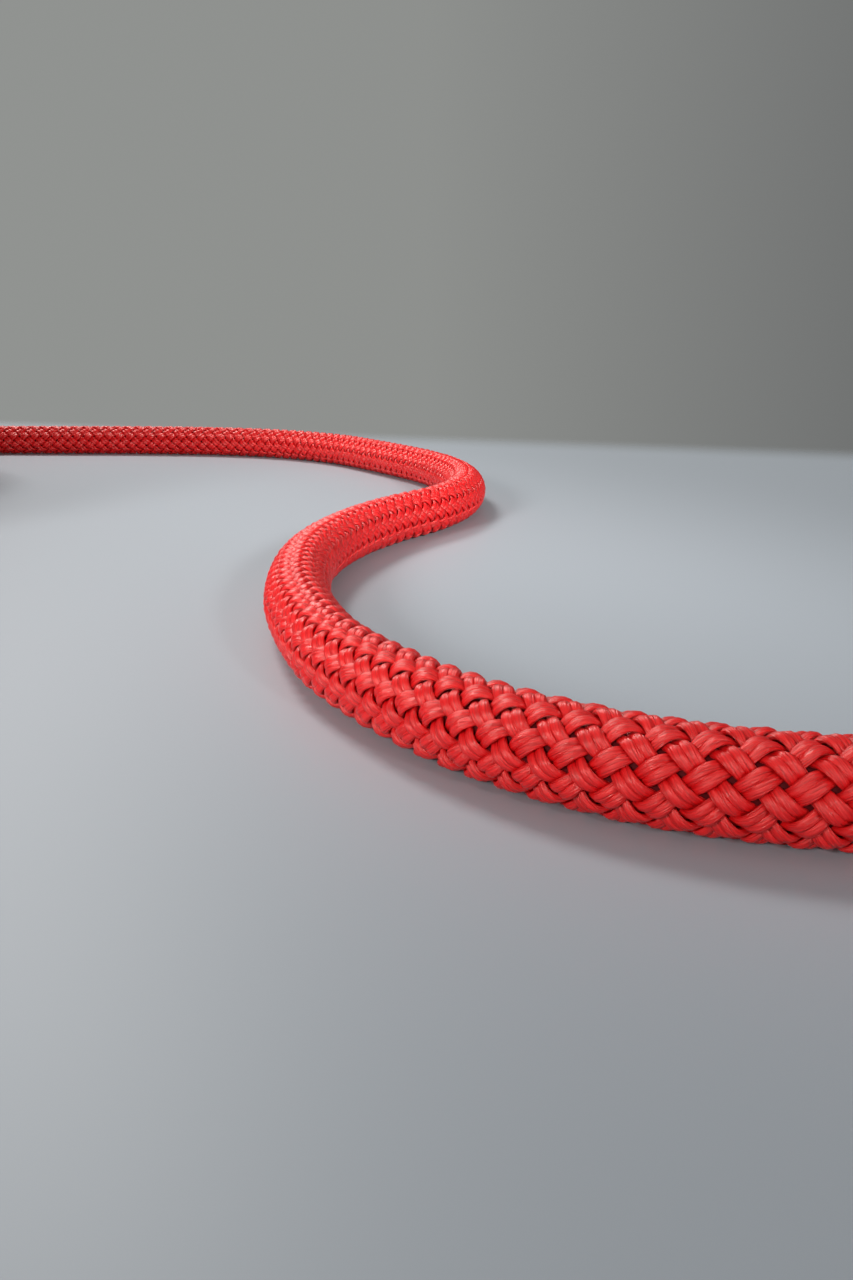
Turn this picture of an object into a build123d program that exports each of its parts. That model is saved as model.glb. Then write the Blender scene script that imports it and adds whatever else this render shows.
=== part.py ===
from build123d import *
import math
import os

# A kernmantle climbing rope, lying on a flat surface at z = 0. One end runs
# through a loose S, and the rest is put away beside it as a tied hank.
# Millimetres, +Z up, origin under the middle of the whole rope's box.

# The rope's section
ROPE_D = 10.0
SHEATH_T = 1.0
CORE_STRAND_D = 1.9
INNER_STRANDS = 3
INNER_RING_R = 1.12
OUTER_STRANDS = 9
OUTER_RING_R = 3.02
TAPE_W = 1.2
TAPE_T = 0.14
TAPE_R = 3.78

# Each end: the rope is drawn in under a shrunk sleeve, and its face is fused
SLEEVE_LONG = 34.0
SLEEVE_T = 0.4
FUSED_LONG = 2.0

# The hank: flat layers of turns, wide and narrow layers in turn, nested
HANK_X = -110.0
FAR_FOLD_Y = 92.0
RUN_LONG = 156.0
FOLD_R_MIN = 30.0
WIDE_TURNS = 6
NARROW_TURNS = 5
LAYERS = 8
LAYER_PITCH = 0.93 * ROPE_D
EDGE_R = 4.0

# The four tie bands, two round each run of the hank
BAND_W = 16.0
BAND_T = 1.2
BAND_LAP_LONG = 44.0
BAND_FROM_MIDDLE = 48.0
BAND_SINK = 2.6
BAND_CORNER_R = 5.0
WAIST_W = 18.0

# A cutting block reaches at least this far past what it cuts
ROOM = 50.0

# The way of the uncoiled rope's middle, from its free end to the hank
ROUTE = [
    (195.0, -171.5),
    (175.0, -171.5),
    (155.5, -172.5),
    (135.0, -167.0),
    (118.5, -153.5),
    (104.5, -130.0),
    (99.5, -113.0),
    (95.5, -93.5),
    (94.5, -61.5),
    (103.5, -26.0),
    (122.0, 3.5),
    (126.0, 39.0),
    (118.0, 75.0),
    (101.5, 108.5),
    (83.5, 139.5),
    (55.5, 161.5),
    (17.0, 170.0),
    (-27.0, 170.5),
    (-71.0, 172.0),
    (HANK_X, 172.0),
]

# The way of the other end, from the hank's last turn over its near fold and
# along the top: x from the hank's middle, y from the near fold's, and height
TAIL = [
    (-75.0, 0.0, 70.1),
    (-75.5, -22.0, 70.6),
    (-64.0, -49.0, 73.5),
    (-37.0, -70.0, 77.5),
    (-2.0, -77.0, 80.2),
    (33.0, -69.0, 80.4),
    (61.0, -45.0, 80.3),
    (71.0, -11.0, 80.2),
    (70.0, 24.0, 80.2),
    (70.5, 58.0, 80.2),
    (70.0, 92.0, 80.2),
    (70.0, 122.0, 80.2),
]

# Worked out from the sizes above
ROPE_R = ROPE_D / 2
BORE_R = ROPE_R - SHEATH_T
DRAWN_IN_R = ROPE_R - SLEEVE_T
TIP_X = ROUTE[0][0]
NEAR_FOLD_Y = FAR_FOLD_Y - RUN_LONG
MIDDLE_Y = (FAR_FOLD_Y + NEAR_FOLD_Y) / 2
WIDE_R = FOLD_R_MIN + (WIDE_TURNS - 1) * ROPE_D
HANK_OUT_R = WIDE_R + ROPE_R
HANK_IN_R = FOLD_R_MIN - ROPE_R
HANK_HIGH = ROPE_D + (LAYERS - 1) * LAYER_PITCH
TAIL_POINTS = [(HANK_X + x, NEAR_FOLD_Y + y, z) for x, y, z in TAIL]
TAIL_TIP_Y = TAIL_POINTS[-1][1]


def fillet_radii(points, share=0.45):
    """The largest tangent arc that each corner's two runs leave room for."""
    radii = []
    for a, b, c in zip(points, points[1:], points[2:]):
        before = Vector(*b) - Vector(*a)
        after = Vector(*c) - Vector(*b)
        half_turn = math.radians(before.get_angle(after)) / 2
        radii.append(share * min(before.length, after.length) / math.tan(half_turn))
    return radii


def rope_path(points):
    return FilletPolyline(*points, radius=fillet_radii(points))


def section_plane(path):
    return Plane(origin=path @ 0, x_dir=(0, 0, 1), z_dir=path % 0)


def rod(path, radius, across=0.0, up=0.0):
    """A round bar that follows the path, beside its middle by across and up."""
    plane = section_plane(path)
    return sweep(plane * Pos(up, across) * Circle(radius), path=path)


def pipe(path, outer, inner):
    plane = section_plane(path)
    return sweep(plane * (Circle(outer) - Circle(inner)), path=path)


def beyond_x(x):
    """The room past x, round the free end."""
    return Pos(x + ROOM, ROUTE[0][1], 0) * Box(2 * ROOM, ROOM, ROOM)


def sheath_run(path):
    inner_end = TIP_X - SLEEVE_LONG
    full = pipe(path, ROPE_R, BORE_R) - beyond_x(inner_end)
    drawn_in = pipe(path, DRAWN_IN_R, BORE_R) & beyond_x(inner_end)
    return full + drawn_in - beyond_x(TIP_X - FUSED_LONG)


def core_strands(path):
    """Twelve strands, three in the middle and nine round them."""
    rings = [(INNER_STRANDS, INNER_RING_R), (OUTER_STRANDS, OUTER_RING_R)]
    strands = []
    for count, ring_r in rings:
        for i in range(count):
            turn = 2 * math.pi * i / count
            across, up = ring_r * math.cos(turn), ring_r * math.sin(turn)
            bar = rod(path, CORE_STRAND_D / 2, across, up)
            strands.append(bar - beyond_x(TIP_X - FUSED_LONG))
    return strands


def marker_tape(path):
    """The flat tape that runs inside the sheath, on top of the core."""
    plane = section_plane(path)
    middle = TAPE_R + TAPE_T / 2
    strip = sweep(plane * Pos(middle, 0) * Rectangle(TAPE_T, TAPE_W), path=path)
    return strip - beyond_x(TIP_X - FUSED_LONG)


def end_sleeve(path):
    return pipe(path, ROPE_R, DRAWN_IN_R) & beyond_x(TIP_X - SLEEVE_LONG)


def fused_end(path):
    return rod(path, DRAWN_IN_R) & beyond_x(TIP_X - FUSED_LONG)


def oval(radius, high):
    """A block with the hank's straight runs and round folds of that radius."""
    outline = SlotCenterToCenter(RUN_LONG, 2 * radius, rotation=90)
    return Pos(HANK_X, MIDDLE_Y, 0) * extrude(outline, high)


def bottom_notch():
    """The place that the lowest layer leaves free, beside the way in."""
    ring = oval(HANK_OUT_R, ROPE_D) - oval(HANK_OUT_R - ROPE_D, ROPE_D)
    long = RUN_LONG + 2 * HANK_OUT_R + 2 * ROOM
    right_half = Pos(HANK_X + HANK_OUT_R, MIDDLE_Y, 0) * Box(2 * HANK_OUT_R, long, 2 * ROPE_D)
    return ring & right_half


def band_frame(side, along):
    """The middle of a tie band's loop, in the run on that side."""
    run_middle = (HANK_OUT_R + HANK_IN_R) / 2
    return Pos(HANK_X + side * run_middle, MIDDLE_Y + along, HANK_HIGH / 2)


def loop_block(grown, wide):
    """A block as large as a tie band's inner face, grown by that much."""
    across = HANK_OUT_R - HANK_IN_R - 2 * BAND_SINK + 2 * grown
    high = HANK_HIGH - 2 * BAND_SINK + 2 * grown
    corner = BAND_CORNER_R + grown
    outline = Plane.XZ * RectangleRounded(across, high, corner)
    return extrude(outline, wide / 2, both=True)


def tie_band(side, along):
    """A closed strap round one run, with its free end lapped on the outside."""
    loop = loop_block(BAND_T, BAND_W) - loop_block(0, BAND_W)
    lap = loop_block(2 * BAND_T, BAND_W) - loop_block(BAND_T, BAND_W)
    reach = (HANK_OUT_R - HANK_IN_R) / 2
    window = Pos(side * reach, 0, 0) * Box(2 * ROPE_D, 2 * BAND_W, BAND_LAP_LONG)
    return band_frame(side, along) * (loop + (lap & window))


def waist(side, along):
    """What a tie band's pull takes off the hank, all round one run."""
    around = loop_block(ROOM, WAIST_W) - loop_block(0, WAIST_W)
    to_hank_middle = (HANK_OUT_R + HANK_IN_R) / 2
    own_run = Box(2 * to_hank_middle, 2 * WAIST_W, 4 * HANK_HIGH)
    return band_frame(side, along) * (around & own_run)


def band_places():
    places = []
    for side in (-1, 1):
        for along in (-BAND_FROM_MIDDLE, BAND_FROM_MIDDLE):
            places.append((side, along))
    return places


def hank_turns(tail):
    """The outer shape of all the hank's turns, with the tail's bed in it."""
    block = oval(HANK_OUT_R, HANK_HIGH) - oval(HANK_IN_R, HANK_HIGH)
    top_edges = block.edges().group_by(Axis.Z)[-1]
    block = fillet(top_edges, EDGE_R) - bottom_notch() - tail
    for side, along in band_places():
        block -= waist(side, along)
    return block


def beyond_y(y):
    """The room past y, round the tail's end."""
    x, _, z = TAIL_POINTS[-1]
    return Pos(x, y + ROOM, z) * Box(ROOM, 2 * ROOM, ROOM)


def tail_pieces(path):
    """The tail's rope, its end sleeve and its fused face."""
    inner_end = TAIL_TIP_Y - SLEEVE_LONG
    face = beyond_y(TAIL_TIP_Y - FUSED_LONG)
    drawn_in = rod(path, DRAWN_IN_R)
    rope = (rod(path, ROPE_R) - beyond_y(inner_end)) + (drawn_in & beyond_y(inner_end))
    sleeve = pipe(path, ROPE_R, DRAWN_IN_R) & beyond_y(inner_end)
    return rope - face, sleeve, drawn_in & face


def coil_length():
    """The length of all the hank's turns, from its folds' mean radius."""
    turns = LAYERS // 2 * (WIDE_TURNS + NARROW_TURNS)
    mean_r = (WIDE_R + FOLD_R_MIN) / 2
    return turns * (2 * RUN_LONG + 2 * math.pi * mean_r)


def save(node, solid):
    export_step(solid, f"parts/{node}.step")


def main():
    os.makedirs("parts", exist_ok=True)
    route = [(x, y, ROPE_R) for x, y in ROUTE]
    run_path, tail_path = rope_path(route), rope_path(TAIL_POINTS)
    sheath = sheath_run(run_path)
    tail, tail_sleeve, tail_face = tail_pieces(tail_path)

    save("sheath_run", sheath)
    for i, strand in enumerate(core_strands(run_path), start=1):
        save(f"core_strand_{i:02d}", strand)
    save("marker_tape", marker_tape(run_path))
    save("end_sleeve_run", end_sleeve(run_path))
    save("fused_end_run", fused_end(run_path))
    save("hank_turns", hank_turns(rod(tail_path, ROPE_R)))
    save("tail_rope", tail)
    save("end_sleeve_tail", tail_sleeve)
    save("fused_end_tail", tail_face)
    for i, (side, along) in enumerate(band_places(), start=1):
        save(f"tie_band_{i}", tie_band(side, along))

    for name, points in (("run", route), ("tail", TAIL_POINTS)):
        radii = fillet_radii(points)
        print(name, "radii", [round(r) for r in radii])
    ring = math.pi * (ROPE_R**2 - BORE_R**2)
    drawn = math.pi * (ROPE_R**2 - DRAWN_IN_R**2) * (SLEEVE_LONG - FUSED_LONG)
    expected = ring * (run_path.length - FUSED_LONG) - drawn
    print(f"sheath volume {sheath.volume:.0f}, section times length {expected:.0f}")
    whole = run_path.length + coil_length() + tail_path.length
    print(f"run {run_path.length:.0f}, tail {tail_path.length:.0f}, rope {whole:.0f}")


main()
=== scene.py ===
import math

import bpy
import numpy as np
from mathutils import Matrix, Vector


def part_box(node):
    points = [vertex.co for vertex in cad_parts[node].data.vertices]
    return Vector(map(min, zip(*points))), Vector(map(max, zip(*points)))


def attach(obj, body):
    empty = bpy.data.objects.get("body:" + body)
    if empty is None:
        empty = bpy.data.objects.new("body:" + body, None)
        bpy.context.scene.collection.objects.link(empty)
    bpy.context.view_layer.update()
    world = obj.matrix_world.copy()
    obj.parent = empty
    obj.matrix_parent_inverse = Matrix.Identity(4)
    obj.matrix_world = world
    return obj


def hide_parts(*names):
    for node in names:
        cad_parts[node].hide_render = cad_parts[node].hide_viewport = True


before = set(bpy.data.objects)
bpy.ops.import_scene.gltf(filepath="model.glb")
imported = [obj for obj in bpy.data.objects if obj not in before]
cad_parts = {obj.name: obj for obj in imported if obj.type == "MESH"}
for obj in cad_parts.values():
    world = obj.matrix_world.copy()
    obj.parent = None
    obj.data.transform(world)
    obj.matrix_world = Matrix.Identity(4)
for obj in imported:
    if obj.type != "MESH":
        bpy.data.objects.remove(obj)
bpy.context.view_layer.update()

# A kernmantle climbing rope: one end runs through a loose S over a table, and
# the rest lies beside it as a tied hank. Lengths are in metres.

MM = 0.001
rng = np.random.default_rng(7)

# ---------------------------------------------------------------- sizes

ROPE_D = 10 * MM
ROPE_R = ROPE_D / 2
SLEEVE_LONG = 34 * MM
FUSED_LONG = 2 * MM

HANK_X = -110 * MM
FAR_FOLD_Y = 92 * MM
RUN_LONG = 156 * MM
NEAR_FOLD_Y = FAR_FOLD_Y - RUN_LONG
MIDDLE_Y = (FAR_FOLD_Y + NEAR_FOLD_Y) / 2
WIDE_RADII = [80 * MM, 70 * MM, 60 * MM, 50 * MM, 40 * MM, 30 * MM]
NARROW_RADII = [35 * MM, 45 * MM, 55 * MM, 65 * MM, 75 * MM]
LAYERS = 8
LAYER_PITCH = 0.93 * ROPE_D
HANK_HIGH = ROPE_D + (LAYERS - 1) * LAYER_PITCH
BUNDLE_MIDDLE_R = (WIDE_RADII[0] + WIDE_RADII[-1]) / 2
BUNDLE_HALF = (WIDE_RADII[0] - WIDE_RADII[-1]) / 2 + ROPE_R

BAND_W = 16 * MM
BAND_T = 1.2 * MM
BAND_FROM_MIDDLE = 48 * MM
BAND_SINK = 2.6 * MM

# The sheath's braid: eight doubled yarns each way round, over one and under one
WAYS = 8
LEAD = 3.08 * ROPE_D
CROSSING = LEAD / (2 * WAYS)
YARN_MID_R = 4.07 * MM
YARN_SWING = 0.58 * MM
YARN_HALF_W = 0.60 * MM
YARN_HALF_T = 0.36 * MM
YARN_ASIDE = 0.44 * MM
# The radius of a tube under the yarns, whose near-black red is painted shade for the braid's gaps
GAP_SHADE_R = 3.9 * MM

# ---------------------------------------------------------------- camera

EYE = (115 * MM, -264 * MM, 42.3 * MM)
EYE_DOWN_DEG = 14.5
LENS_MM = 33.33
SENSOR_MM = 36.0


def make_camera():
    data = bpy.data.cameras.new("camera")
    data.sensor_width = SENSOR_MM
    data.lens = LENS_MM
    data.clip_start = 0.005
    camera = bpy.data.objects.new("camera", data)
    camera.location = EYE
    camera.rotation_euler = (math.radians(90 - EYE_DOWN_DEG), 0, 0)
    bpy.context.collection.objects.link(camera)
    bpy.context.scene.camera = camera


make_camera()

# ---------------------------------------------------------------- the rope's line

# From the free end to the hank, lying on the table
ROUTE = [
    (0.1950, -0.1715),
    (0.1750, -0.1715),
    (0.1555, -0.1725),
    (0.1350, -0.1670),
    (0.1185, -0.1535),
    (0.1045, -0.1300),
    (0.0995, -0.1130),
    (0.0955, -0.0935),
    (0.0945, -0.0615),
    (0.1035, -0.0260),
    (0.1220, 0.0035),
    (0.1260, 0.0390),
    (0.1180, 0.0750),
    (0.1015, 0.1085),
    (0.0835, 0.1395),
    (0.0555, 0.1615),
    (0.0170, 0.1700),
    (-0.0270, 0.1705),
    (-0.0710, 0.1720),
    (-0.1100, 0.1720),
]

# From the hank's last turn over its near fold and along its top: x from the
# hank's middle, y from the near fold's, and height
TAIL = [
    (-0.0750, 0.0000, 0.0701),
    (-0.0755, -0.0220, 0.0706),
    (-0.0640, -0.0490, 0.0735),
    (-0.0370, -0.0700, 0.0775),
    (-0.0020, -0.0770, 0.0802),
    (0.0330, -0.0690, 0.0804),
    (0.0610, -0.0450, 0.0803),
    (0.0710, -0.0110, 0.0800),
    (0.0700, 0.0240, 0.0796),
    (0.0705, 0.0580, 0.0795),
    (0.0700, 0.0920, 0.0796),
    (0.0700, 0.1220, 0.0796),
]

FOLD_POINTS = 8
RUN_STOPS = [s * MM for s in (-68, -57, -48, -39, -28, 0, 28, 39, 48, 57, 68)]
PULLED_WITHIN = 10 * MM


def pulled_in(across, height, along):
    """Where the tie bands hold a run, its turns are drawn towards the bundle's middle."""
    if abs(abs(along) - BAND_FROM_MIDDLE) > PULLED_WITHIN:
        return across, height
    half_high = HANK_HIGH / 2
    keep_across = 1 - BAND_SINK / (BUNDLE_HALF - ROPE_R)
    keep_up = 1 - BAND_SINK / (half_high - ROPE_R)
    across = BUNDLE_MIDDLE_R + (across - BUNDLE_MIDDLE_R) * keep_across
    return across, half_high + (height - half_high) * keep_up


def run_points(side, radius, height):
    """A straight run: away from the eye on the right side, back on the left."""
    found = []
    for stop in RUN_STOPS:
        along = side * stop
        across, up = pulled_in(radius, height, along)
        found.append((HANK_X + side * across, MIDDLE_Y + along, up))
    return found


def eased(share):
    """A share from 0 to 1, with a gentle start and end."""
    return share * share * (3 - 2 * share)


def early(share):
    """The same, mostly done in its first half."""
    return math.sin(math.pi / 2 * eased(share) ** 0.7)


def late(share):
    """The same, mostly done in its second half."""
    return eased(share) ** 3


def fold_shares(share, radii, heights):
    """How much of the way to the next radius and height is done at that share of a fold.

    A turn that climbs to the next layer climbs early where it starts on the hank's
    inside, and late where it starts on the outside, so that it clears its neighbours.
    """
    if heights[0] == heights[1]:
        return eased(share), 0.0
    if radii[0] < BUNDLE_MIDDLE_R:
        return late(share), early(share)
    return 1 - late(1 - share), 1 - early(1 - share)


def fold_points(middle_y, from_deg, radii, heights):
    """Half a turn round a fold, from one radius and height to the next."""
    step = math.radians(180 / FOLD_POINTS)
    found = []
    for k in range(FOLD_POINTS):
        outward, upward = fold_shares((k + 0.5) / FOLD_POINTS, radii, heights)
        radius = radii[0] + (radii[1] - radii[0]) * outward
        radius /= math.cos(step / 2)
        angle = math.radians(from_deg) + step * (k + 0.5)
        found.append((
            HANK_X + radius * math.cos(angle),
            middle_y + radius * math.sin(angle),
            heights[0] + (heights[1] - heights[0]) * upward,
        ))
    return found


def coil_turns():
    """(radius, height) of each turn: wide layers wind inwards, narrow ones outwards."""
    turns = []
    for layer in range(LAYERS):
        height = ROPE_R + layer * LAYER_PITCH
        for radius in NARROW_RADII if layer % 2 else WIDE_RADII:
            turns.append((radius, height))
    return turns


def coil_points():
    turns = coil_turns()
    found = []
    for i, (radius, height) in enumerate(turns):
        flat = (height, height)
        far = fold_points(FAR_FOLD_Y, 0, (radius, radius), flat)
        if i == 0:
            found += far[FOLD_POINTS // 2:]
        else:
            found += run_points(1, radius, height) + far
        found += run_points(-1, radius, height)
        if i + 1 < len(turns):
            wider, higher = turns[i + 1]
            found += fold_points(NEAR_FOLD_Y, 180, (radius, wider), (height, higher))
    return found


def rope_points():
    way_in = [(x, y, ROPE_R) for x, y in ROUTE]
    way_out = [(HANK_X + x, NEAR_FOLD_Y + y, z) for x, y, z in TAIL]
    return way_in + coil_points() + way_out


READ_FINE = 40
DRAWN_FINE = 4


def rope_spline(points):
    data = bpy.data.curves.new("rope", "CURVE")
    data.dimensions = "3D"
    data.resolution_u = READ_FINE
    spline = data.splines.new("NURBS")
    spline.points.add(len(points) - 1)
    for knot, point in zip(spline.points, points):
        knot.co = (*point, 1)
    spline.order_u = 3
    spline.use_endpoint_u = True
    rope = bpy.data.objects.new("rope", data)
    bpy.context.collection.objects.link(rope)
    return rope


def read_line(rope):
    """The points that the spline runs through, read before it has any thickness."""
    mesh = bpy.data.meshes.new_from_object(rope)
    line = np.zeros(len(mesh.vertices) * 3)
    mesh.vertices.foreach_get("co", line)
    bpy.data.meshes.remove(mesh)
    return line.reshape(-1, 3)


def unit(v):
    return v / np.maximum(np.linalg.norm(v, axis=-1, keepdims=True), 1e-12)


class Line:
    """The rope's middle line by length: where it is, its way, and two directions across."""

    def __init__(self, points):
        steps = np.linalg.norm(np.diff(points, axis=0), axis=1)
        keep = np.concatenate([[True], steps > 1e-7])
        self.points = points[keep]
        steps = np.linalg.norm(np.diff(self.points, axis=0), axis=1)
        self.along = np.concatenate([[0], np.cumsum(steps)])
        self.long = self.along[-1]
        self.ways = unit(np.gradient(self.points, self.along, axis=0))

    def at(self, s):
        place = np.stack([np.interp(s, self.along, self.points[:, k]) for k in range(3)], -1)
        way = np.stack([np.interp(s, self.along, self.ways[:, k]) for k in range(3)], -1)
        way = unit(way)
        past_end = s - np.clip(s, 0, self.long)
        place = place + past_end[..., None] * way
        side = unit(np.cross(np.array([0.0, 0.0, 1.0]), way))
        return place, way, side, np.cross(way, side)

    def nearest(self, place):
        """How far along the line's nearest point to that place is."""
        return self.along[np.argmin(np.linalg.norm(self.points - place, axis=1))]


rope = rope_spline(rope_points())
line = Line(read_line(rope))
hank_starts = line.nearest((HANK_X, FAR_FOLD_Y + WIDE_RADII[0], ROPE_R))
hank_ends = line.nearest((HANK_X - NARROW_RADII[-1], NEAR_FOLD_Y, HANK_HIGH - ROPE_R))
rope.data.resolution_u = DRAWN_FINE
# The rope's own tube lies under the yarns and carries the painted shade of the braid's gaps
rope.data.bevel_depth = GAP_SHADE_R
rope.data.bevel_resolution = 4
rope.data.use_fill_caps = True

# ---------------------------------------------------------------- mesh helpers


def mesh_object(name, points, faces, uv=None):
    """faces is a list of arrays, each with one face's corners in a row."""
    mesh = bpy.data.meshes.new(name)
    mesh.vertices.add(len(points))
    mesh.vertices.foreach_set("co", np.asarray(points, np.float32).ravel())
    corners = np.concatenate([f.ravel() for f in faces]).astype(np.int32)
    sizes = np.concatenate([np.full(len(f), f.shape[1]) for f in faces]).astype(np.int32)
    mesh.loops.add(len(corners))
    mesh.loops.foreach_set("vertex_index", corners)
    mesh.polygons.add(len(sizes))
    mesh.polygons.foreach_set("loop_start", np.cumsum(sizes) - sizes)
    mesh.update(calc_edges=True)
    if uv is not None:
        layer = mesh.uv_layers.new(name="along_yarn")
        layer.data.foreach_set("uv", np.asarray(uv, np.float32)[corners].ravel())
    mesh.shade_smooth()
    made = bpy.data.objects.new(name, mesh)
    bpy.context.collection.objects.link(made)
    return made


def tube_faces(bars, rows, ring):
    """Quads round closed tubes whose points are in (bar, row, ring) order, and their end caps."""
    index = np.arange(bars * rows * ring).reshape(bars, rows, ring)
    turned = np.roll(index, -1, axis=2)
    quads = np.stack([index[:, :-1], turned[:, :-1], turned[:, 1:], index[:, 1:]], -1)
    return [quads.reshape(-1, 4), index[:, 0, ::-1], index[:, -1]]


# ---------------------------------------------------------------- the braided sheath


# A yarn's way over and under, its slow unevenness, how much smaller it is where it
# passes under another, and how much narrower the rope is under a sleeve
WAVE_SHARP = 0.7
UNEVEN = 0.035 * MM
UNEVEN_LONG = 23 * MM
NARROWER_UNDER = 0.22
THINNER_UNDER = 0.10
UNDER_SLEEVE = 0.905
NARROWS_OVER = 3 * MM


def flattened(wave):
    """A wave from -1 to 1 that stays longer at its ends."""
    return np.tanh(WAVE_SHARP * wave) / math.tanh(WAVE_SHARP)


def drawn_in(s):
    """How much narrower the rope is under the sleeve at its nearer end."""
    from_end = np.minimum(s, line.long - s)
    share = np.clip((from_end - SLEEVE_LONG) / NARROWS_OVER + 0.5, 0, 1)
    return UNDER_SLEEVE + (1 - UNDER_SLEEVE) * eased(share)


def yarns(hand, ways, s, ring):
    """The points of doubled yarns that wind that hand's way, as (yarn, row, ring, 3)."""
    slope = 2 * math.pi * YARN_MID_R / LEAD
    lean = math.cos(math.atan(slope))
    aside = YARN_ASIDE / (YARN_MID_R * lean)
    place, _, side, up = line.at(s)
    around = np.linspace(0, 2 * math.pi, ring, endpoint=False)
    bars, uvs = [], []
    for i in ways:
        for twin in (-1, 1):
            shift = twin * aside
            phase = 2 * WAYS * math.pi * s / LEAD + WAYS / 2 * hand * shift
            wave = flattened(np.cos(phase))
            uneven = UNEVEN * np.sin(s / UNEVEN_LONG * 2 * math.pi + rng.uniform(0, 6.28))
            radius = (YARN_MID_R + hand * YARN_SWING * wave + uneven) * drawn_in(s)
            angle = 2 * math.pi * i / WAYS + hand * 2 * math.pi * s / LEAD + shift
            out = np.cos(angle)[:, None] * side + np.sin(angle)[:, None] * up
            middle = place + radius[:, None] * out
            ahead = unit(np.gradient(middle, axis=0))
            across = unit(np.cross(out, ahead))
            normal = np.cross(ahead, across)
            under = 0.5 - 0.5 * hand * wave
            half_w = YARN_HALF_W * (1 - NARROWER_UNDER * under)
            half_t = YARN_HALF_T * (1 - THINNER_UNDER * under)
            bar = (
                middle[:, None]
                + (half_w[:, None] * np.cos(around))[..., None] * across[:, None]
                + (half_t[:, None] * np.sin(around))[..., None] * normal[:, None]
            )
            bars.append(bar)
            u = around * (YARN_HALF_W + YARN_HALF_T) / 2 / MM
            v = (s / lean / MM)[:, None] + 40.0 * rng.uniform()
            uvs.append(np.stack(np.broadcast_arrays(u[None], v), -1))
    return np.array(bars), np.array(uvs)


def sheath_piece(name, hand, ways, start, end, steps, ring):
    """Some yarns of one hand, from start to end along the rope."""
    rows = int((end - start) / (2 * CROSSING) * steps) + 1
    s = np.linspace(start, end, rows)
    points, uv = yarns(hand, ways, s, ring)
    faces = tube_faces(len(points), rows, ring)
    return mesh_object(name, points.reshape(-1, 3), faces, uv.reshape(-1, 2))


HANDS = {"s": 1, "z": -1}
RUN_WAYS = [(0, 1, 2), (3, 4, 5), (6, 7)]

# How far the long yarns reach under the hank's first and last stitches
YARNS_PAST = 2 * MM

# How finely a long yarn is made: steps from where it passes over to where it next
# does, and points round it
RUN_STEPS = 10.4
RUN_RING = 10
TAIL_STEPS = 8
TAIL_RING = 8


def run_sheath():
    pieces = []
    for name, hand in HANDS.items():
        for k, ways in enumerate(RUN_WAYS, start=1):
            piece = f"sheath_run_{name}{k}"
            ends = (FUSED_LONG, hank_starts + YARNS_PAST)
            pieces.append(sheath_piece(piece, hand, ways, *ends, RUN_STEPS, RUN_RING))
    return pieces


def tail_sheath():
    pieces = []
    for name, hand in HANDS.items():
        piece = f"sheath_tail_{name}"
        ends = (hank_ends - YARNS_PAST, line.long - FUSED_LONG)
        pieces.append(sheath_piece(piece, hand, range(WAYS), *ends, TAIL_STEPS, TAIL_RING))
    return pieces


# ---------------------------------------------------------------- the hank's stitches

# A stitch is a doubled yarn where it passes over: six points round it, with a flat
# top, at four places along it
STITCH_ROUND = np.array([
    (-1.0, -0.9), (-0.86, 0.25), (-0.42, 1.0),
    (0.42, 1.0), (0.86, 0.25), (1.0, -0.9),
])
STITCH_ALONG = np.array([-0.80, -0.36, 0.36, 0.80])
STITCH_THICK = (0.75, 1.0, 1.0, 0.75)
STITCH_UNEVEN = 0.03 * MM

# A stitch's size for the yarn's texture, in millimetres: round it, and per crossing
TEXTURE_ROUND = 3.4
TEXTURE_ALONG = 2.6

# The hank's turns that show from outside and inside, by their radius. More of them
# show at the near fold, where turns cross, and outside in the lowest layer
OUTER_R = 72.5 * MM
OUTER_LOWEST_R = 67 * MM
OUTER_CROSSING_R = 62 * MM
INNER_R = 37.5 * MM
INNER_CROSSING_R = 47 * MM
CROSSING_REACH = 30 * MM

# How far a stitch may face away from a side and still show, and how far down it has
# to face to show from below, as parts of 1
FACING = 0.35
FACING_DOWN = 0.2

# How high the middles of the lowest, top and second layers' turns reach, in layers
LOWEST_WITHIN = 0.5
TOP_WITHIN = 0.6

STITCHES_IN_PIECE = 4400


def showing(place, out):
    """Whether a stitch on the hank, with that outward direction, can be seen from outside."""
    x = place[:, 0] - HANK_X
    past = np.abs(place[:, 1] - MIDDLE_Y) - RUN_LONG / 2
    y = np.sign(place[:, 1] - MIDDLE_Y) * np.maximum(past, 0)
    radius = np.hypot(x, y)
    outward = (out[:, 0] * x + out[:, 1] * y) / np.maximum(radius, 1e-9)
    lowest = place[:, 2] < ROPE_R + LOWEST_WITHIN * LAYER_PITCH
    top = place[:, 2] > HANK_HIGH - ROPE_R - TOP_WITHIN * LAYER_PITCH
    second = place[:, 2] > HANK_HIGH - ROPE_R - (1 + TOP_WITHIN) * LAYER_PITCH
    crossing_over = place[:, 1] < NEAR_FOLD_Y + CROSSING_REACH
    outer_from = np.where(lowest, OUTER_LOWEST_R, OUTER_R)
    outer = radius > np.where(crossing_over, OUTER_CROSSING_R, outer_from)
    inner = radius < np.where(crossing_over, INNER_CROSSING_R, INNER_R)
    from_side = (outer & (outward > -FACING)) | (inner & (outward < FACING))
    from_top = (top | (second & (outer | inner))) & (out[:, 2] > -FACING)
    from_below = lowest & (out[:, 2] < -FACING_DOWN)
    return from_side | from_top | from_below


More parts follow.
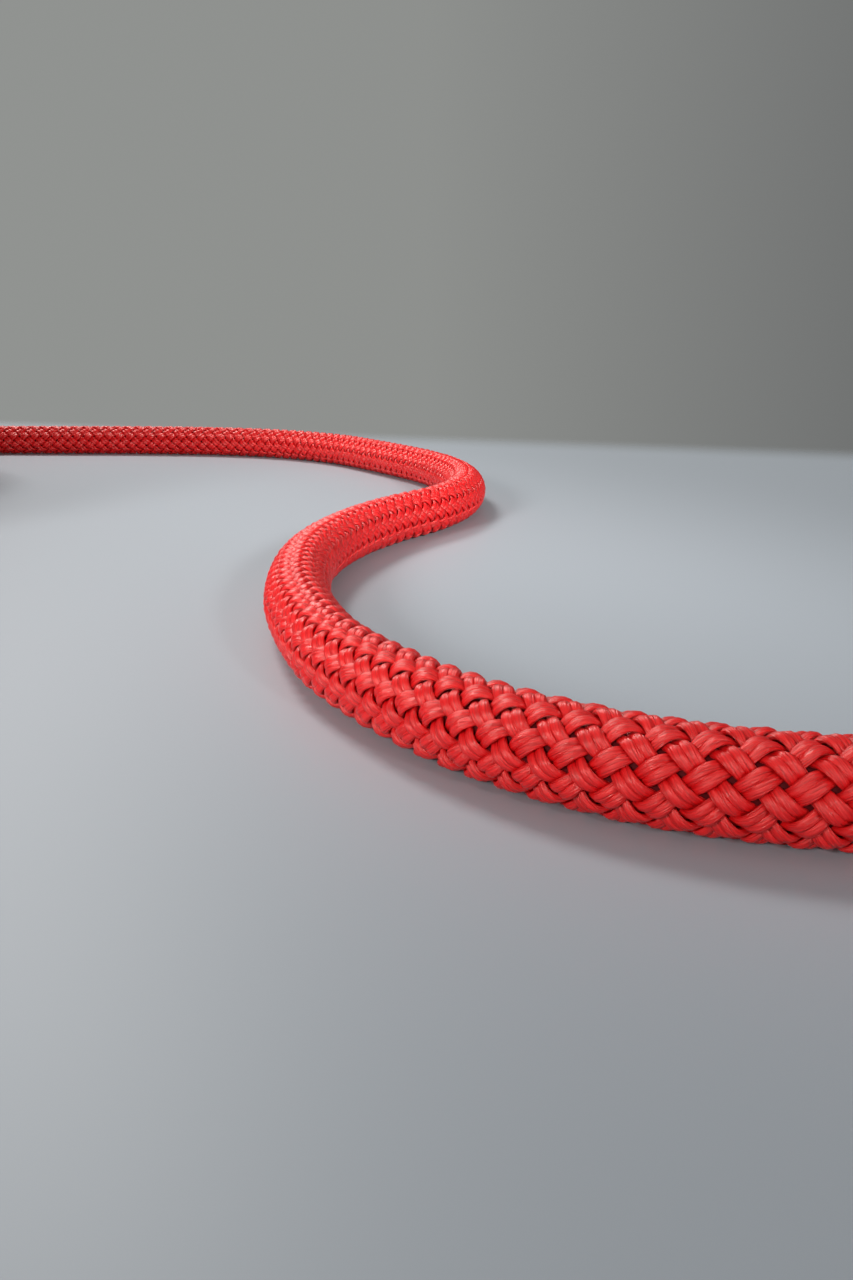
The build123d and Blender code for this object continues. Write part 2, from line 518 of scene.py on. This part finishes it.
def hank_stitches():
    rows = np.arange(int(hank_starts / CROSSING), int(hank_ends / CROSSING) + 1)
    places, angles, hands = [], [], []
    for column in range(2 * WAYS):
        own_rows = rows[rows % 2 == column % 2]
        places.append(own_rows * CROSSING)
        angles.append(np.full(len(own_rows), math.pi * column / WAYS))
        hands.append(np.full(len(own_rows), 1 - 2 * (column % 2)))
    s, angle, hand = (np.concatenate(part) for part in (places, angles, hands))
    place, _, side, up = line.at(s)
    out = np.cos(angle)[:, None] * side + np.sin(angle)[:, None] * up
    seen = showing(place, out)
    return s[seen], angle[seen], hand[seen]


def stitch_points(s, angle, hand):
    """The points of each stitch, as (stitch, place along, place round, 3)."""
    slope = 2 * math.pi * YARN_MID_R / LEAD
    lean = math.cos(math.atan(slope))
    turn = 2 * math.pi / LEAD * CROSSING
    uneven = rng.normal(0, STITCH_UNEVEN, len(s))
    rows = []
    for share, thickness in zip(STITCH_ALONG, STITCH_THICK):
        here = s + share * CROSSING
        place, way, side, up = line.at(here)
        theta = angle + hand * turn * share
        out = np.cos(theta)[:, None] * side + np.sin(theta)[:, None] * up
        tangent = -np.sin(theta)[:, None] * side + np.cos(theta)[:, None] * up
        ahead = unit(way * lean + (hand * math.sqrt(1 - lean * lean))[:, None] * tangent)
        across = unit(np.cross(out, ahead))
        lift = YARN_SWING * math.cos(math.pi * share)
        radius = (YARN_MID_R + lift + uneven)[:, None, None]
        wide = YARN_HALF_W + YARN_ASIDE
        thick = YARN_HALF_T * thickness
        rows.append(
            place[:, None]
            + (radius + thick * STITCH_ROUND[None, :, 1:]) * out[:, None]
            + wide * STITCH_ROUND[None, :, :1] * across[:, None]
        )
    return np.stack(rows, axis=1)


def hank_sheath():
    s, angle, hand = hank_stitches()
    points = stitch_points(s, angle, hand)
    count, rows, ring = points.shape[:3]
    u = np.broadcast_to(np.linspace(0, TEXTURE_ROUND, ring), (count, rows, ring))
    v = np.broadcast_to(STITCH_ALONG[None, :, None] * TEXTURE_ALONG, (count, rows, ring))
    v = v + rng.uniform(0, 50, count)[:, None, None]
    uv = np.stack([u, v], -1)
    pieces = []
    groups = np.array_split(np.arange(count), math.ceil(count / STITCHES_IN_PIECE))
    for k, own in enumerate(groups, start=1):
        faces = tube_faces(len(own), rows, ring)
        own_points, own_uv = points[own].reshape(-1, 3), uv[own].reshape(-1, 2)
        pieces.append(mesh_object(f"sheath_hank_{k}", own_points, faces, own_uv))
    return pieces


# ---------------------------------------------------------------- core, tape and ends

CORE_STRAND_R = 0.95 * MM
CORE_IN = 0.84

# The core's rings, as how many strands each has and its radius before CORE_IN
CORE_RINGS = [(3, 1.12 * MM), (9, 3.02 * MM)]
CORE_TURN = 90 * MM
CORE_STEP = 1.0 * MM
CORE_RING = 12
PLY_TURN = 14 * MM
PLY_DEEP = 0.08
TAPE_R = 3.55 * MM
TAPE_W = 1.2 * MM
TAPE_T = 0.12 * MM
TAPE_STEP = 1.5 * MM
TAPE_SWAY = 0.10
TAPE_SWAY_LONG = 31 * MM


def core_strand(name, ring_r, angle):
    """One three-ply strand of the core, which winds slowly round the rope's middle."""
    s = np.arange(FUSED_LONG, hank_starts, CORE_STEP)
    place, _, side, up = line.at(s)
    turned = angle + 2 * math.pi * s / CORE_TURN
    out = np.cos(turned)[:, None] * side + np.sin(turned)[:, None] * up
    middle = place + CORE_IN * ring_r * out
    around = np.linspace(0, 2 * math.pi, CORE_RING, endpoint=False)
    ply = np.cos(3 * (around[None] - (2 * math.pi * s / PLY_TURN)[:, None]))
    radius = CORE_IN * CORE_STRAND_R * (1 - PLY_DEEP + PLY_DEEP * ply)
    points = (
        middle[:, None]
        + (radius * np.cos(around))[..., None] * side[:, None]
        + (radius * np.sin(around))[..., None] * up[:, None]
    )
    v = np.repeat(s[:, None] / MM, len(around), axis=1)
    u = np.repeat(around[None] * CORE_STRAND_R / MM, len(s), axis=0)
    faces = tube_faces(1, len(s), len(around))
    uv = np.stack([u, v], -1).reshape(-1, 2)
    return mesh_object(name, points.reshape(-1, 3), faces, uv)


def make_core():
    strands = []
    for count, ring_r in CORE_RINGS:
        for k in range(count):
            name = f"core_{len(strands) + 1:02d}"
            strands.append(core_strand(name, ring_r, 2 * math.pi * k / count))
    return strands


def make_tape():
    """The plain strip that runs inside the sheath."""
    s = np.arange(FUSED_LONG, hank_starts, TAPE_STEP)
    place, _, side, up = line.at(s)
    corners = [(-1, -1), (1, -1), (1, 1), (-1, 1)]
    lean = TAPE_SWAY * np.sin(s / TAPE_SWAY_LONG)
    rows = []
    for a, b in corners:
        angle = math.pi / 2 + lean + a * TAPE_W / 2 / TAPE_R
        radius = TAPE_R + b * TAPE_T / 2
        out = np.cos(angle)[:, None] * side + np.sin(angle)[:, None] * up
        rows.append(place + radius * out)
    points = np.stack(rows, axis=1)
    return mesh_object("marker_strip", points.reshape(-1, 3), tube_faces(1, len(s), 4))


def turned_points(profile, ring, bump):
    """The points of a skin round the rope's line through (place along, radius) points."""
    s = np.array([p[0] for p in profile])
    place, _, side, up = line.at(s)
    around = np.linspace(0, 2 * math.pi, ring, endpoint=False)
    radius = np.array([p[1] for p in profile])[:, None] + bump(s[:, None], around[None])
    return (
        place[:, None]
        + (radius * np.cos(around))[..., None] * side[:, None]
        + (radius * np.sin(around))[..., None] * up[:, None]
    )


SLEEVE_RING = 96
PRINT_DEEP = 0.045 * MM
TIP_RINGS = 22
TIP_RING = 64
TIP_R = 4.50 * MM
TIP_FROM = 0.25 * MM
TIP_BULGE = 1.05 * MM
TIP_BLUNT = 0.7


def sleeve_profile(end, inward):
    """Round the sleeve's wall: along the outside, over the inner end, and back inside.

    The numbers are millimetres from the rope's end and from its middle.
    """
    outside = [(0.15, 4.50), (0.02, 4.62), (0.05, 4.76), (0.25, 4.88), (0.6, 4.94)]
    outside += [(0.6 + 0.35 * k, 4.96) for k in range(1, 94)]
    outside += [(33.75, 4.96), (33.95, 4.90), (34.0, 4.80), (33.95, 4.70), (33.7, 4.64)]
    inside = [(33.0 - 1.5 * k, 4.62) for k in range(21)] + [(0.6, 4.58)]
    return [(end + inward * along * MM, radius * MM) for along, radius in outside + inside]


def braid_print(s, around):
    """The braid's bumps as they show through the thin sleeve, on its outside."""
    a = np.cos(WAYS * around - math.pi * s / CROSSING)
    b = np.cos(WAYS * around + math.pi * s / CROSSING)
    return PRINT_DEEP * a * b


def make_sleeve(name, end, inward):
    profile = sleeve_profile(end, inward)
    points = turned_points(profile, SLEEVE_RING, braid_print)
    index = np.arange(len(profile) * SLEEVE_RING).reshape(len(profile), SLEEVE_RING)
    below = np.roll(index, -1, axis=0)
    quads = np.stack([index, np.roll(index, -1, 1), np.roll(below, -1, 1), below], -1)
    if inward < 0:
        quads = quads[..., ::-1]
    return mesh_object(name, points.reshape(-1, 3), [quads.reshape(-1, 4)])


def make_fused_end(name, end, inward):
    """The melted end: a lumpy cap that stands a little proud of the sleeve."""
    profile = [(end + inward * FUSED_LONG, TIP_R)]
    for k in range(TIP_RINGS):
        angle = math.pi / 2 * (k + 0.6) / (TIP_RINGS + 0.6)
        along = TIP_FROM - TIP_BULGE * math.sin(angle)
        profile.append((end + inward * along, TIP_R * math.cos(angle) ** TIP_BLUNT))
    lumps = rng.uniform(0, 2 * math.pi, 5)

    def lumpy(s, around):
        size = 0.06 * np.sin(5 * around + lumps[0]) + 0.05 * np.sin(9 * around + lumps[1])
        size = size + 0.04 * np.sin(14 * around + lumps[2] + s / (0.3 * MM))
        return (size - 0.1) * MM

    points = turned_points(profile, TIP_RING, lumpy)
    faces = tube_faces(1, len(profile), TIP_RING)
    if inward > 0:
        faces = [f[:, ::-1] for f in faces]
    return mesh_object(name, points.reshape(-1, 3), faces)


# ---------------------------------------------------------------- the tie bands

WEAVE_PITCH = 1.1 * MM
WEAVE_HIGH = 0.10 * MM
WEAVE_STEPS = 4
WEAVE_COLUMNS = 41
ROLLED_FROM = 0.93
EDGE_THIN = 0.25
CORNER_STEP = 0.5 * MM

# Which of the hank's two runs each band is on: -1 is the left one
BAND_SIDES = (-1, -1, 1, 1)


def band_outline():
    """Round the turns that a band holds: (across, up) of its mid-thickness.

    Both are from the bundle's middle.
    """
    turn_u = BUNDLE_HALF - ROPE_R - BAND_SINK
    turn_w = HANK_HIGH / 2 - ROPE_R - BAND_SINK
    second_w = turn_w - LAYER_PITCH * turn_w / (turn_w + BAND_SINK)
    step_u = (WIDE_RADII[0] - NARROW_RADII[-1]) * turn_u / (turn_u + BAND_SINK)
    centres = [
        (turn_u, -turn_w), (turn_u, second_w), (turn_u - step_u, turn_w),
        (step_u - turn_u, turn_w), (-turn_u, second_w), (-turn_u, -turn_w),
    ]
    radius = ROPE_R + BAND_T / 2
    found = []
    for i, (u, w) in enumerate(centres):
        last = np.subtract(centres[i], centres[i - 1])
        following = np.subtract(centres[(i + 1) % len(centres)], centres[i])
        start = math.atan2(-last[0], last[1])
        turn = (math.atan2(-following[0], following[1]) - start) % (2 * math.pi)
        steps = max(3, int(turn * radius / CORNER_STEP))
        for k in range(steps + 1):
            angle = start + turn * k / steps
            found.append((u + radius * math.cos(angle), w + radius * math.sin(angle)))
    return np.array(found)


def even_steps(outline, step, closed):
    """The same path with points at even steps along it."""
    if closed:
        outline = np.vstack([outline, outline[:1]])
    long = np.concatenate([[0], np.cumsum(np.linalg.norm(np.diff(outline, axis=0), axis=1))])
    count = WEAVE_STEPS * round(long[-1] / step / WEAVE_STEPS)
    s = np.linspace(0, long[-1], count + 1)
    if closed:
        s = s[:-1]
    return np.stack([np.interp(s, long, outline[:, k]) for k in range(2)], -1), s


def webbing(name, path, s, side, middle_y, closed):
    """A woven strap whose mid-thickness follows path, with raised yarns and rolled edges."""
    share = np.linspace(-1, 1, WEAVE_COLUMNS)
    if closed:
        ahead = unit(np.roll(path, -1, 0) - np.roll(path, 1, 0))
    else:
        ahead = unit(np.gradient(path, axis=0))
    out = np.stack([ahead[:, 1], -ahead[:, 0]], -1)
    ribs = np.cos(2 * math.pi * np.arange(len(path)) / WEAVE_STEPS)[:, None]
    warp = np.cos(2 * math.pi * np.arange(WEAVE_COLUMNS) / WEAVE_STEPS)[None]
    weave = WEAVE_HIGH * ribs * warp
    rolled = np.clip((np.abs(share) - ROLLED_FROM) / (1 - ROLLED_FROM), 0, 1)
    edge = np.sqrt(1 - rolled ** 2)
    half_t = (BAND_T / 2 - WEAVE_HIGH) * (EDGE_THIN + (1 - EDGE_THIN) * edge)[None]
    half_t = half_t + weave * edge[None]
    y = middle_y + share * BAND_W / 2
    skins = []
    for face in (1, -1):
        u = path[:, 0][:, None] + face * out[:, 0][:, None] * half_t
        w = path[:, 1][:, None] + face * out[:, 1][:, None] * half_t
        x = HANK_X + side * (BUNDLE_MIDDLE_R + u)
        z = HANK_HIGH / 2 + w
        layer = np.stack([x, np.broadcast_to(y[None], x.shape), z], -1)
        skins.append(layer if face > 0 else layer[:, ::-1])
    points = np.concatenate(skins, axis=1)
    rows, ring = points.shape[:2]
    index = np.arange(rows * ring).reshape(rows, ring)
    turned = np.roll(index, -1, axis=1)
    if closed:
        below, below_turned = np.roll(index, -1, 0), np.roll(turned, -1, 0)
        quads = [np.stack([index, turned, below_turned, below], -1).reshape(-1, 4)]
        ends = []
    else:
        quads = [np.stack([index[:-1], turned[:-1], turned[1:], index[1:]], -1).reshape(-1, 4)]
        ends = [index[:1, ::-1], index[-1:]]
    if side > 0:
        quads = [q[:, ::-1] for q in quads]
        ends = [e[:, ::-1] for e in ends]
    uv_u = np.broadcast_to(np.concatenate([share, share[::-1]])[None] * 8, (rows, ring))
    uv_v = np.broadcast_to(s[:, None] / MM, (rows, ring))
    uv = np.stack([uv_u, uv_v], -1)
    return mesh_object(name, points.reshape(-1, 3), quads + ends, uv.reshape(-1, 2))


LAP_LONG = 44 * MM
LAP_GAP = 0.05 * MM


def lap_path():
    """The strap's free end, laid over itself up the bundle's outer side."""
    outer = BUNDLE_HALF - BAND_SINK + BAND_T * 1.5 + LAP_GAP
    under = BUNDLE_HALF - BAND_SINK + BAND_T
    half = LAP_LONG / 2
    return np.array([(under, -half), (outer, -half + 4 * MM), (outer, half)])


def stitch_rows(name, side, middle_y):
    """Lines of thread that hold the lap: four across it and two along its edges.

    The numbers are millimetres from the lap's middle.
    """
    face = BUNDLE_HALF - BAND_SINK + 2 * BAND_T + LAP_GAP
    places = []
    for w in (-13, -9.5, 13.5, 17):
        places += [(y, w, True) for y in np.arange(-5.6, 5.7, 1.4)]
    for y in (-6.3, 6.3):
        places += [(y, w, False) for w in np.arange(-13, 17.1, 1.5)]
    around = np.linspace(0, 2 * math.pi, 8, endpoint=False)
    along = np.array([-1.0, -0.75, -0.3, 0.3, 0.75, 1.0])
    bars = []
    for y, w, across in places:
        bar = []
        for a in along:
            sink = 0.22 * (1 - a * a)
            r = 0.17 * (1.0 if abs(a) < 0.9 else 0.6)
            u = face / MM - 0.12 + sink + r * np.sin(around)
            if across:
                row = (u, y + 0.58 * a + 0 * around, w + r * np.cos(around))
            else:
                row = (u, y + r * np.cos(around), w + 0.62 * a + 0 * around)
            bar.append(np.stack(row, -1))
        bars.append(bar)
    local = np.array(bars) * MM
    x = HANK_X + side * (BUNDLE_MIDDLE_R + local[..., 0])
    points = np.stack([x, middle_y + local[..., 1], HANK_HIGH / 2 + local[..., 2]], -1)
    faces = tube_faces(len(places), len(along), len(around))
    return mesh_object(name, points.reshape(-1, 3), faces)


def joined(name, objects):
    """One piece made of several, which keep their own materials."""
    bpy.ops.object.select_all(action="DESELECT")
    for each in objects:
        each.select_set(True)
    bpy.context.view_layer.objects.active = objects[0]
    bpy.ops.object.join()
    objects[0].name = name
    return objects[0]


def make_bands(cloth, thread):
    step = WEAVE_PITCH / WEAVE_STEPS
    bands = []
    for number, side in enumerate(BAND_SIDES, start=1):
        lo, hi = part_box(f"tie_band_{number}")
        middle_y = (lo[1] + hi[1]) / 2
        path, s = even_steps(band_outline(), step, True)
        loop = webbing(f"tie_{number}", path, s, side, middle_y, True)
        path, s = even_steps(lap_path(), step, False)
        lap = webbing(f"lap_{number}", path, s, side, middle_y, False)
        stitches = stitch_rows(f"stitches_{number}", side, middle_y)
        for part in (loop, lap):
            part.data.materials.append(cloth)
        stitches.data.materials.append(thread)
        bands.append(joined(f"tie_{number}", [loop, lap, stitches]))
    return bands


# ---------------------------------------------------------------- materials


class Shader:
    """A material's node tree, with a principled shader at its end."""

    def __init__(self, name, colour, roughness, **constants):
        self.material = bpy.data.materials.new(name)
        self.material.use_nodes = True
        self.nodes = self.material.node_tree.nodes
        self.links = self.material.node_tree.links
        self.shader = self.nodes["Principled BSDF"]
        self.shader.inputs["Base Color"].default_value = (*colour, 1)
        self.shader.inputs["Roughness"].default_value = roughness
        for socket, value in constants.items():
            self.shader.inputs[socket.replace("_", " ")].default_value = value

    def add(self, kind, **settings):
        node = self.nodes.new(kind)
        for key, value in settings.items():
            if hasattr(node, key):
                setattr(node, key, value)
            else:
                node.inputs[key.replace("_", " ")].default_value = value
        return node

    def link(self, start, socket, end, into):
        self.links.new(start.outputs[socket], end.inputs[into])

    def along_yarn(self, scale, twist=0.0):
        """Millimetres round and along a yarn or strap, turned by twist and stretched by scale."""
        where = self.add("ShaderNodeUVMap", uv_map="along_yarn")
        turn = self.add("ShaderNodeMapping")
        turn.inputs["Rotation"].default_value = (0, 0, twist)
        stretch = self.add("ShaderNodeMapping")
        stretch.inputs["Scale"].default_value = scale
        self.link(where, "UV", turn, "Vector")
        self.link(turn, "Vector", stretch, "Vector")
        return stretch

    def noise(self, vector, scale, detail=3.0, socket="Vector"):
        noise = self.add("ShaderNodeTexNoise", Scale=scale, Detail=detail)
        self.link(vector, socket, noise, "Vector")
        return noise

    def grain(self, scale):
        """Noise that is fixed to the object."""
        return self.noise(self.add("ShaderNodeTexCoord"), scale, socket="Object")

    def ramp(self, source, stops):
        ramp = self.add("ShaderNodeValToRGB")
        self.link(source, "Fac", ramp, "Fac")
        ramp.color_ramp.elements[0].position = stops[0][0]
        ramp.color_ramp.elements[0].color = (*stops[0][1], 1)
        ramp.color_ramp.elements[1].position = stops[-1][0]
        ramp.color_ramp.elements[1].color = (*stops[-1][1], 1)
        for position, colour in stops[1:-1]:
            ramp.color_ramp.elements.new(position).color = (*colour, 1)
        return ramp

    def bump(self, source, distance):
        bump = self.add("ShaderNodeBump", Strength=1.0, Distance=distance)
        self.link(source, "Fac", bump, "Height")
        self.link(bump, "Normal", self.shader, "Normal")


def nylon(name, dark, mid, light, gloss):
    """Shiny twisted yarn: fine filaments along it and a slow change of shade."""
    made = Shader(name, mid, 0.38, Specular_IOR_Level=0.95, Subsurface_Weight=0.10)
    made.shader.inputs["Specular Tint"].default_value = (*gloss, 1)
    made.shader.inputs["Subsurface Radius"].default_value = (1.0, 0.15, 0.1)
    made.shader.inputs["Subsurface Scale"].default_value = 0.5 * MM
    fine = made.noise(made.along_yarn((6.0, 0.40, 1), 0.22), 1.0, 4.0)
    shade = made.ramp(fine, [(0.30, dark), (0.52, mid), (0.74, light)])
    made.link(shade, "Color", made.shader, "Base Color")
    made.bump(fine, 0.22 * MM)
    return made.material


# A near-black red that paints the shade deep in the gaps between the sheath's yarns
def painted_gap_shade(name, colour):
    made = Shader(name, colour, 0.75, Specular_IOR_Level=0.2)
    made.bump(made.grain(900.0), 0.15 * MM)
    return made.material


def film(name, colour, roughness, grain):
    made = Shader(name, colour, roughness, Specular_IOR_Level=0.5)
    made.bump(made.grain(420.0), grain)
    return made.material


def woven(name, dark, light):
    made = Shader(name, light, 0.7, Sheen_Weight=0.3, Sheen_Roughness=0.5)
    fine = made.noise(made.along_yarn((6.0, 1.4, 1)), 1.0, 4.0)
    shade = made.ramp(fine, [(0.3, dark), (0.7, light)])
    made.link(shade, "Color", made.shader, "Base Color")
    made.bump(fine, 0.12 * MM)
    return made.material


RED_DARK = (0.56, 0.001, 0.003)
RED_MID = (0.84, 0.003, 0.006)
RED_LIGHT = (0.94, 0.020, 0.022)
CORE_DARK = (0.62, 0.60, 0.54)
CORE_MID = (0.76, 0.74, 0.68)
CORE_LIGHT = (0.86, 0.84, 0.79)

sheath_nylon = nylon("sheath_nylon", RED_DARK, RED_MID, RED_LIGHT, (1.0, 0.78, 0.72))
# Painted shade: a dark copy of the sheath's red for the tube under the yarns
sheath_gap_shade = painted_gap_shade("sheath_gap_shade", (0.10, 0.001, 0.003))
core_nylon = nylon("core_nylon", CORE_DARK, CORE_MID, CORE_LIGHT, (1, 1, 1))
tape_film = film("tape_film", (0.80, 0.60, 0.06), 0.40, 0.02 * MM)
sleeve_film = film("sleeve_film", (0.018, 0.018, 0.020), 0.38, 0.03 * MM)
fused_nylon = film("fused_nylon", (0.22, 0.008, 0.010), 0.22, 0.20 * MM)
tie_cloth = woven("tie_webbing", (0.018, 0.019, 0.022), (0.050, 0.052, 0.058))
tie_thread = film("tie_thread", (0.16, 0.16, 0.17), 0.55, 0.05 * MM)

# ---------------------------------------------------------------- the pieces


def dress(piece, material, slot, *nodes):
    if not piece.data.materials:
        piece.data.materials.append(material)
    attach(piece, "root")
    if nodes:
        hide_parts(*nodes)
    return piece


dress(rope, sheath_gap_shade, "sheath_nylon", "sheath_run", "hank_turns", "tail_rope")
sheath_pieces = [
    dress(piece, sheath_nylon, "sheath_nylon")
    for piece in run_sheath() + tail_sheath() + hank_sheath()
]
for k, strand in enumerate(make_core(), start=1):
    dress(strand, core_nylon, "core_nylon", f"core_strand_{k:02d}")
tape = dress(make_tape(), tape_film, "tape_film", "marker_tape")
run_sleeve = make_sleeve("sleeve_run", 0.0, 1)
dress(run_sleeve, sleeve_film, "sleeve_film", "end_sleeve_run")
tail_sleeve = make_sleeve("sleeve_tail", line.long, -1)
dress(tail_sleeve, sleeve_film, "sleeve_film", "end_sleeve_tail")
run_tip = make_fused_end("tip_run", 0.0, 1)
dress(run_tip, fused_nylon, "fused_nylon", "fused_end_run")
tail_tip = make_fused_end("tip_tail", line.long, -1)
dress(tail_tip, fused_nylon, "fused_nylon", "fused_end_tail")
for k, band in enumerate(make_bands(tie_cloth, tie_thread), start=1):
    dress(band, tie_cloth, "tie_webbing", f"tie_band_{k}")

# ---------------------------------------------------------------- floor and light

LEFT_W = 17.5
RIGHT_W = 24
BACK_W = 4.4
TOP_W = 0.4

# The table fades out where a place's share along this slanted way passes between two
# values, in metres
FADE_WAY = (0.42, 1.0, 0)
FADE_FROM = 0.245
FADE_TO = 0.31

# How far to each side, as a part of 1, the backdrop's shade changes
SHADED_TO = 0.36


def make_floor():
    """A pale table top that fades into the backdrop past the rope's far bend."""
    bpy.ops.mesh.primitive_plane_add(size=3, location=(0.1, 0.3, 0))
    floor = bpy.context.object
    floor.name = "floor"
    made = Shader("floor", (0.40, 0.437, 0.484), 0.5, Specular_IOR_Level=0.3)
    where = made.add("ShaderNodeNewGeometry")
    turn = made.add("ShaderNodeVectorMath", operation="DOT_PRODUCT")
    turn.inputs[1].default_value = FADE_WAY
    made.link(where, "Position", turn, 0)
    ease = made.add("ShaderNodeMapRange", interpolation_type="SMOOTHSTEP")
    ease.inputs["From Min"].default_value = FADE_FROM
    ease.inputs["From Max"].default_value = FADE_TO
    made.link(turn, "Value", ease, "Value")
    clear = made.add("ShaderNodeBsdfTransparent")
    blend = made.add("ShaderNodeMixShader")
    made.link(ease, "Result", blend, "Fac")
    made.links.new(made.shader.outputs[0], blend.inputs[1])
    made.links.new(clear.outputs[0], blend.inputs[2])
    made.link(blend, "Shader", made.nodes["Material Output"], "Surface")
    floor.data.materials.append(made.material)
    return floor


def aimed(place, aim):
    """The turn that points a light from place at aim."""
    toward = np.subtract(aim, place)
    flat = math.hypot(toward[0], toward[1])
    return (math.atan2(flat, -toward[2]), 0, math.atan2(toward[1], toward[0]) - math.pi / 2)


def area_light(name, place, aim, size, watts, colour):
    data = bpy.data.lights.new(name, "AREA")
    data.shape = "RECTANGLE"
    data.size, data.size_y = size
    data.energy = watts
    data.color = colour
    light = bpy.data.objects.new(name, data)
    light.location = place
    light.rotation_euler = aimed(place, aim)
    bpy.context.collection.objects.link(light)


def spot_light(name, place, aim, cone_deg, radius, watts, colour):
    data = bpy.data.lights.new(name, "SPOT")
    data.spot_size = math.radians(cone_deg)
    data.spot_blend = 1.0
    data.shadow_soft_size = radius
    data.energy = watts
    data.color = colour
    light = bpy.data.objects.new(name, data)
    light.location = place
    light.rotation_euler = aimed(place, aim)
    bpy.context.collection.objects.link(light)


def make_room():
    """A plain grey backdrop, a little darker on the right."""
    world = bpy.data.worlds.new("room")
    world.use_nodes = True
    nodes, links = world.node_tree.nodes, world.node_tree.links
    where = nodes.new("ShaderNodeTexCoord")
    parts = nodes.new("ShaderNodeSeparateXYZ")
    links.new(where.outputs["Generated"], parts.inputs[0])
    ramp = nodes.new("ShaderNodeValToRGB")
    shift = nodes.new("ShaderNodeMapRange")
    shift.inputs["From Min"].default_value = -SHADED_TO
    shift.inputs["From Max"].default_value = SHADED_TO
    links.new(parts.outputs["X"], shift.inputs["Value"])
    links.new(shift.outputs["Result"], ramp.inputs["Fac"])
    ramp.color_ramp.elements[0].color = (0.285, 0.295, 0.285, 1)
    ramp.color_ramp.elements[1].color = (0.160, 0.165, 0.163, 1)
    ramp.color_ramp.elements.new(0.5).color = (0.270, 0.278, 0.268, 1)
    links.new(ramp.outputs["Color"], nodes["Background"].inputs[0])
    bpy.context.scene.world = world


def make_light():
    left, left_aim = (-0.25, -0.60, 0.25), (0.10, 0.0, 0.0)
    right, right_aim = (0.45, -0.65, 0.25), (0.11, 0.015, 0.0)
    back, top, middle = (-0.20, 0.48, 0.62), (0.15, 0.0, 1.1), (0.08, 0.0, 0.0)
    spot_light("left", left, left_aim, 32, 0.08, LEFT_W, (1.0, 0.97, 0.94))
    spot_light("right", right, right_aim, 14, 0.05, RIGHT_W, (1.0, 0.98, 0.96))
    area_light("back", back, middle, (0.22, 0.22), BACK_W, (1.0, 0.98, 0.95))
    area_light("top", top, middle, (0.9, 0.9), TOP_W, (0.93, 0.97, 1.0))


make_room()
floor = make_floor()
make_light()
bpy.context.scene.view_settings.view_transform = "Standard"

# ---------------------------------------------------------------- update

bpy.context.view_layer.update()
